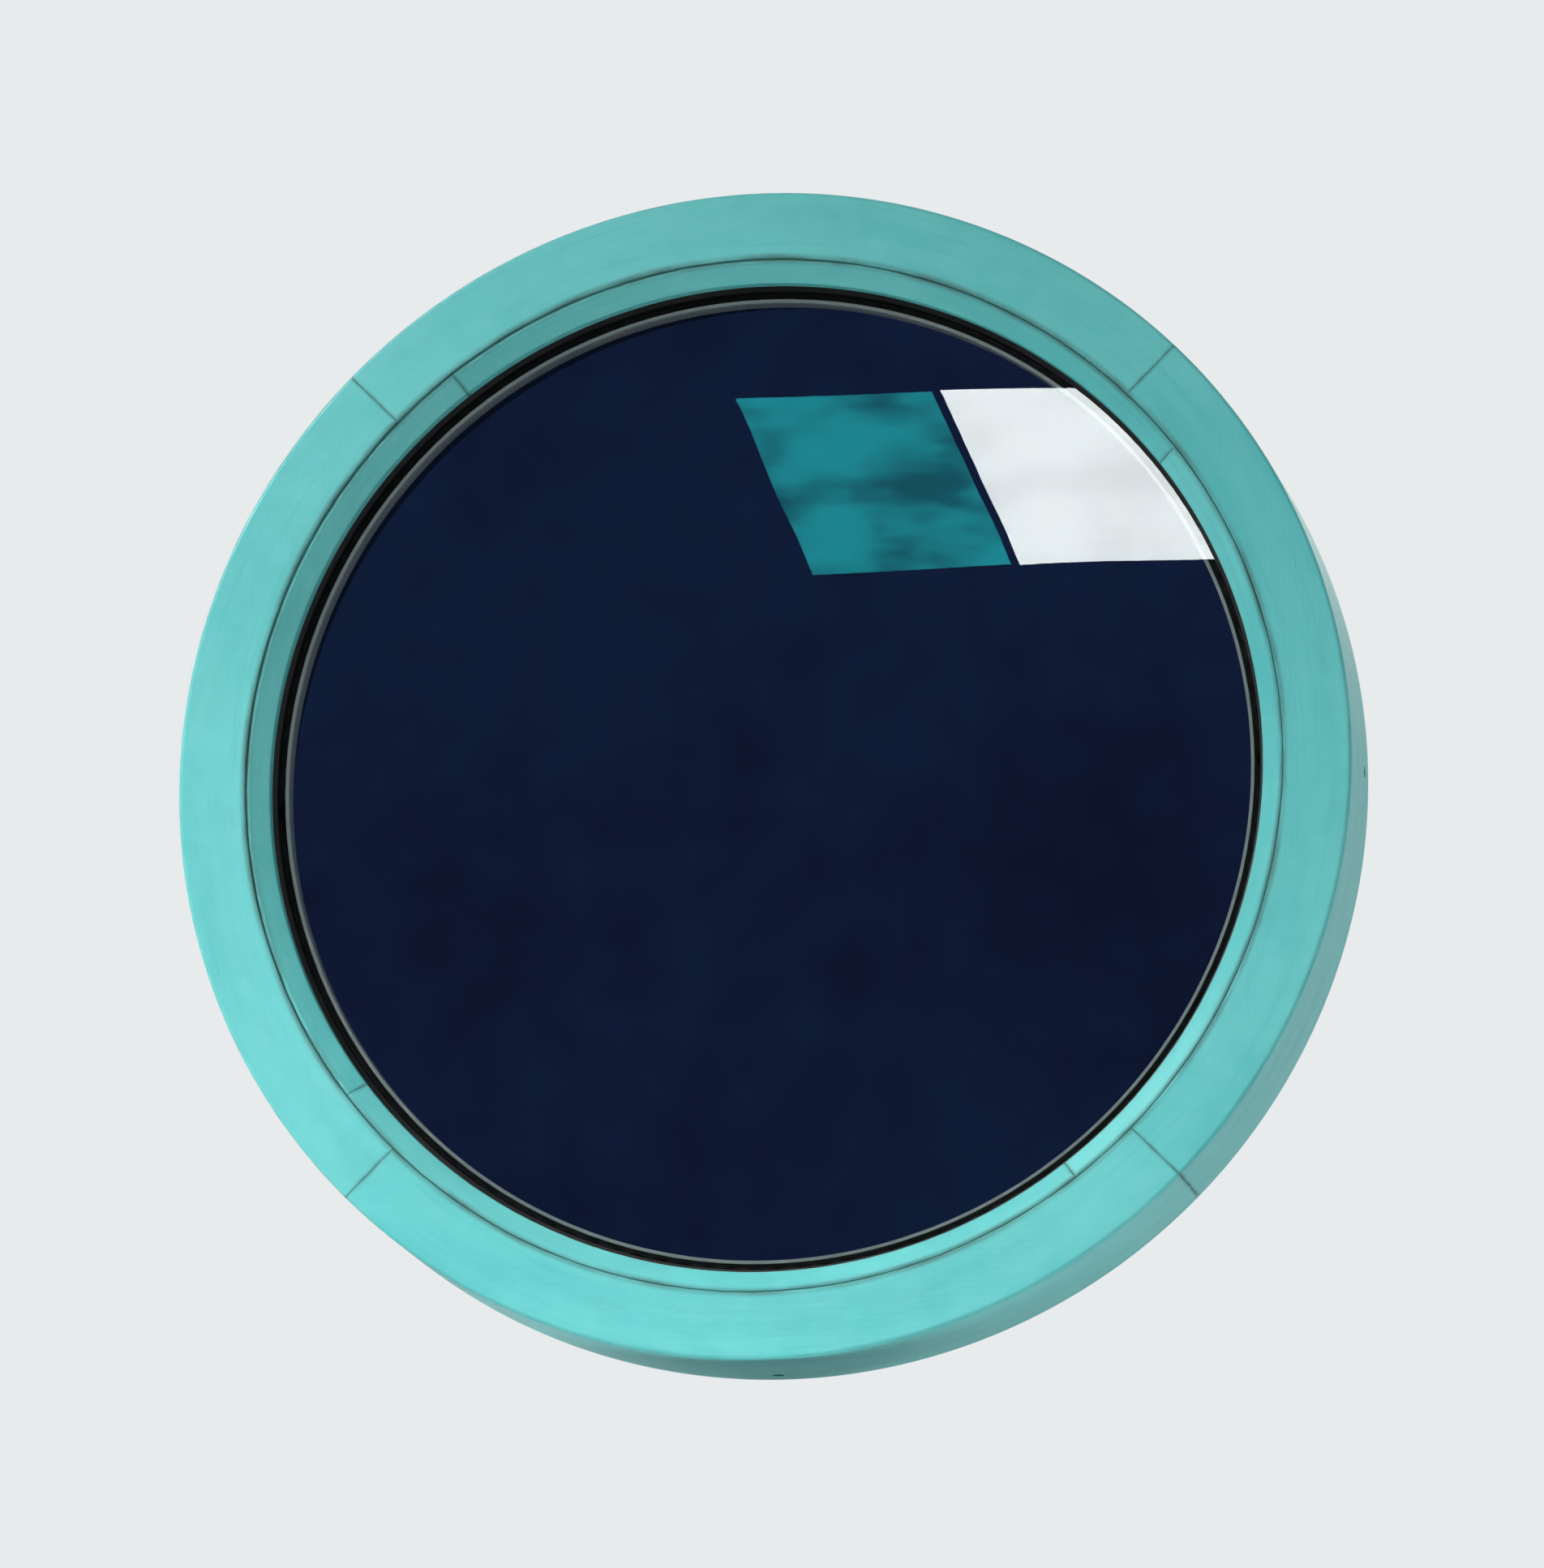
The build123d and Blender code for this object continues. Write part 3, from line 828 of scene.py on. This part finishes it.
def make_world():
    """Pale all round, but what is mirrored shows dark in front of the window."""
    world = bpy.data.worlds.new("studio")
    bpy.context.scene.world = world
    world.use_nodes = True
    tree = world.node_tree
    tree.nodes.clear()
    rays = node(tree, "ShaderNodeLightPath").outputs
    away = node(tree, "ShaderNodeTexCoord").outputs["Generated"]
    forward = node(tree, "ShaderNodeSeparateXYZ", {0: away}).outputs["Y"]
    mirrored = ramp(tree, forward, -0.35, 0.05, FLAG_LEVEL, MIRROR_LEVEL)
    has_mirrored = math(tree, "GREATER_THAN", rays["Glossy Depth"], 0.5)
    level = mix(tree, has_mirrored, PALE_LEVEL, mirrored)
    level = mix(tree, rays["Is Diffuse Ray"], level, SOFT_LEVEL)
    shown = node(tree, "ShaderNodeBackground", {"Color": BACKDROP, "Strength": level})
    ending = node(tree, "ShaderNodeOutputWorld")
    tree.links.new(shown.outputs[0], ending.inputs["Surface"])


def make_floor():
    """Plain pale ground under the ring, which can't be seen from underneath.

    Where it is mirrored in front of the window it shows dark, as the world does there.
    """
    bm = bmesh.new()
    place = Matrix.Translation((0, 0, -FRAME_RADIUS - FLOOR_GAP))
    bmesh.ops.create_grid(bm, x_segments=1, y_segments=1, size=60, matrix=place)
    floor = finish_mesh(bm, "floor")
    made, tree, shader = start_material("floor", srgb(226, 228, 228), 0.9)
    shader["Emission Color"].default_value = BACKDROP
    rays = node(tree, "ShaderNodeLightPath").outputs
    place = object_place(tree)
    far = node(tree, "ShaderNodeVectorMath", {0: place}, operation="LENGTH").outputs["Value"]
    shown = ramp(tree, far, FLOOR_NEAR, FLOOR_FAR, FLOOR_GLOW, 1.0)
    tree.links.new(
        mix(tree, rays["Is Diffuse Ray"], shown, SOFT_LEVEL), shader["Emission Strength"])
    surface = tree.nodes["Principled BSDF"].outputs[0]
    forward = node(tree, "ShaderNodeSeparateXYZ", {0: place}).outputs["Y"]
    has_mirrored = math(tree, "GREATER_THAN", rays["Glossy Depth"], 0.5)
    flag = math(tree, "MULTIPLY", has_mirrored, ramp(tree, forward, -0.3, 0.1, 1.0, 0.0))
    dark = node(tree, "ShaderNodeEmission", {"Color": BACKDROP, "Strength": FLAG_LEVEL}).outputs[0]
    surface = node(tree, "ShaderNodeMixShader", {0: flag, 1: surface, 2: dark}).outputs[0]
    tone = use_group(tree, MOTTLE, Vector=place, Scale=0.8, Seed=1.0)["Fac"]
    tone = blend(tree, tone, srgb(224, 226, 226), srgb(230, 232, 232))
    unlit = mix(tree, rays["Is Diffuse Ray"], shown, 0.0)
    tree.links.new(blend(tree, unlit, tone, (0, 0, 0, 1)), shader["Base Color"])
    hidden = node(tree, "ShaderNodeBsdfTransparent").outputs[0]
    behind = node(tree, "ShaderNodeNewGeometry").outputs["Backfacing"]
    mixed = node(tree, "ShaderNodeMixShader", {0: behind, 1: surface, 2: hidden}).outputs[0]
    tree.links.new(mixed, tree.nodes["Material Output"].inputs["Surface"])
    floor.data.materials.append(made)


make_camera()
make_lights()
make_world()
make_floor()
make_frame()
make_beads()
make_pane("outer_pane", clear_glass())
make_pane("inner_pane", room_shade_glass())
make_gasket()
make_spacer()
dress_inner_pieces()
bpy.context.scene.view_settings.view_transform = "Standard"
